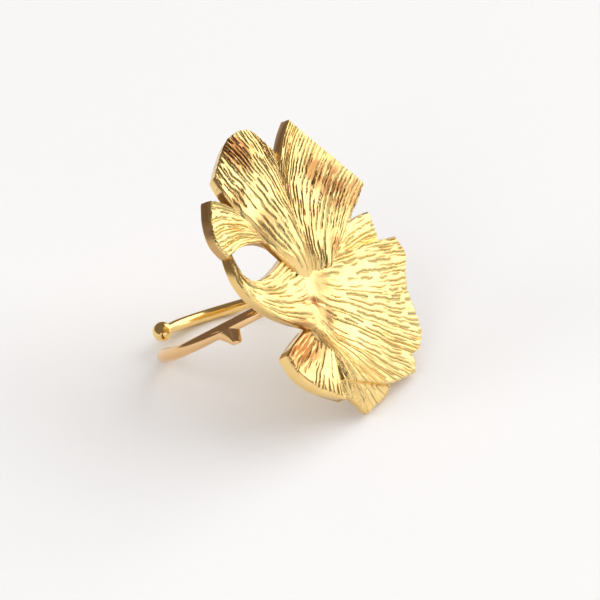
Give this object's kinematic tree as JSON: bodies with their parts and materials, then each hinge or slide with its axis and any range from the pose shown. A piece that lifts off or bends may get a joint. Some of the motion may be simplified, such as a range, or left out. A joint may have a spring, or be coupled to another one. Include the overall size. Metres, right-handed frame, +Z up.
{
  "type": "leaf ring",
  "caption": "Cast finger ring: ribbed fan leaves joined at their bases around an eye-shaped hole, on an open wire band with a ball at one end and a twig bud.",
  "frame": {"origin": "on the surface that the ring lies on, below the middle of its box", "axes": "+Z up from that surface; the ring lies on its side, with the leaves on the +X side and the band towards -X; the front of the leaves faces +X, -Y and +Z"},
  "size_m": [0.0268, 0.0228, 0.0259],
  "materials": {
    "gold_plated_brass": "polished"
  },
  "bodies": {
    "root": {"leaf_ring": "gold_plated_brass"}
  },
  "joints": []
}
